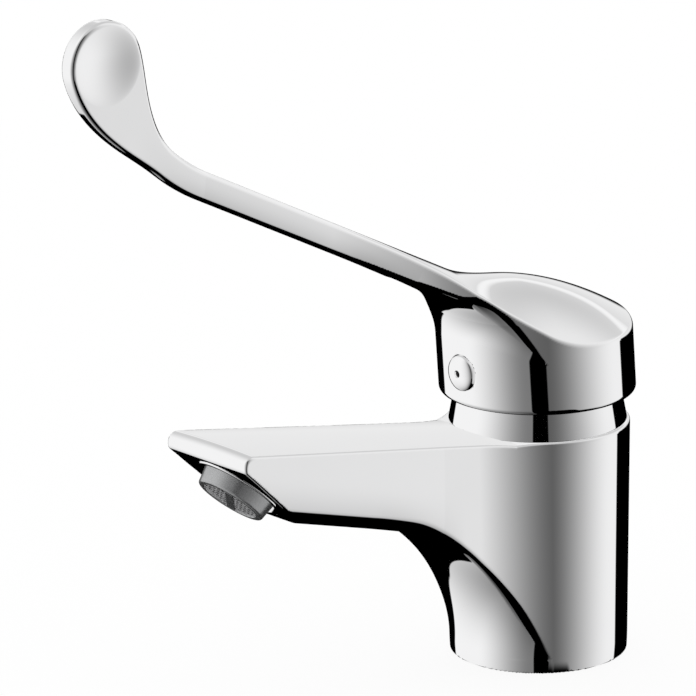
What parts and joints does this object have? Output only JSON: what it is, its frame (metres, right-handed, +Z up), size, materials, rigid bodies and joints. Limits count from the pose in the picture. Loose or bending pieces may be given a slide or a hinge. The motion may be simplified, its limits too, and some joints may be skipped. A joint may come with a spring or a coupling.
{
  "type": "elbow lever basin tap",
  "caption": "Deck-mounted mixer tap with a round body, rising flat-topped spout, tilted outlet and a long elbow lever that ends in an upright paddle.",
  "frame": {"origin": "centre of the round base, on the deck", "axes": "+Z up along the body's axis, the spout and the lever point along -Y, +X to the right of someone who faces +Y"},
  "size_m": [0.0516, 0.1781, 0.1922],
  "materials": {
    "chrome": "polished chrome plating on brass",
    "rubber": "black seal rubber",
    "cartridge_plastic": "white engineering plastic",
    "ceramic": null,
    "rotor_plastic": "grey engineering plastic",
    "steel": "stainless steel",
    "brass": "plain brass",
    "dark_plastic": "dark inset",
    "grey_plastic": "grey aerator plastic"
  },
  "bodies": {
    "fixed": {"body": "chrome", "base_seal": "rubber", "cartridge_base": "cartridge_plastic", "port_seals": "rubber", "fixed_disc": "ceramic", "cartridge_housing": "cartridge_plastic", "housing_o_ring": "rubber", "retaining_nut": "brass", "neck_ring": "chrome", "neck_o_ring": "rubber", "aerator_housing": "chrome", "aerator_insert": "grey_plastic", "aerator_jet_plate": "cartridge_plastic", "aerator_screen": "steel", "aerator_seal": "rubber"},
    "rotor": {"rotor": "rotor_plastic", "pivot_pin": "steel"},
    "lever": {"handle": "chrome", "spindle": "steel", "grub_screw": "steel", "screw_cover": "chrome", "cover_dot": "dark_plastic"},
    "discs": {"moving_disc": "ceramic", "disc_carrier": "cartridge_plastic"}
  },
  "joints": [
    {"name": "swivel", "type": "hinge", "parent": "fixed", "child": "rotor", "pos_m": [0, 0, 0.05], "axis": [0, 0, 1], "range_deg": [-45, 45]},
    {"name": "lift", "type": "hinge", "parent": "rotor", "child": "lever", "pos_m": [0, 0, 0.06205], "axis": [-1, 0, 0], "range_deg": [0, 16]},
    {"name": "disc_slide", "type": "slide", "parent": "rotor", "child": "discs", "axis": [0, -1, 0], "range_m": [0, 0.00457]}
  ],
  "couplings": [
    {"joint": "disc_slide", "follows": "lift", "m_per_rad": 0.016286}
  ]
}
